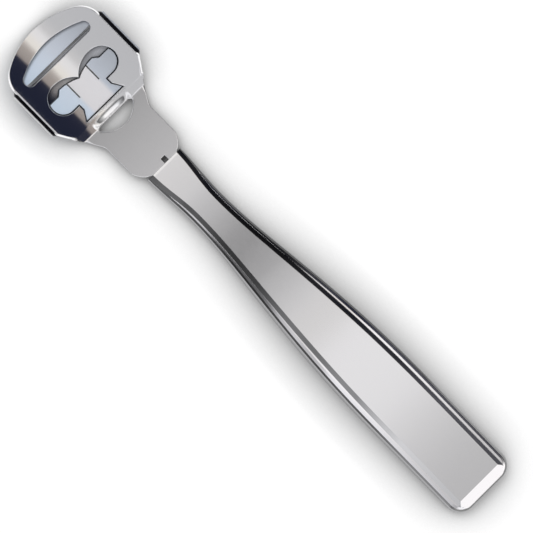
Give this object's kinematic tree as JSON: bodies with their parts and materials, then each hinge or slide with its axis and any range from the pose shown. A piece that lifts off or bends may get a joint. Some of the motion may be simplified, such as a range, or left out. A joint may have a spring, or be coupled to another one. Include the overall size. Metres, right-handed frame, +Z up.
{
  "type": "callus shaver",
  "caption": "Callus shaver: a hollow pressed steel handle with a panelled top, and a curved head plate that clamps a thin bent blade against a slotted sole plate.",
  "frame": {"origin": "on the surface that the part rests on, below the middle of its length and width", "axes": "+X from the tip of the head to the end of the handle, +Z up towards the user, +Y across to the left as seen from the tip looking along +X"},
  "size_m": [0.16, 0.0308, 0.0084],
  "materials": {
    "handle_steel": "satin panel inside a polished rim",
    "head_steel": "polished",
    "sole_steel": "polished",
    "blade_steel": "ground"
  },
  "bodies": {
    "root": {"handle": "handle_steel", "head_plate": "head_steel", "sole_plate": "sole_steel", "blade": "blade_steel"}
  },
  "joints": []
}
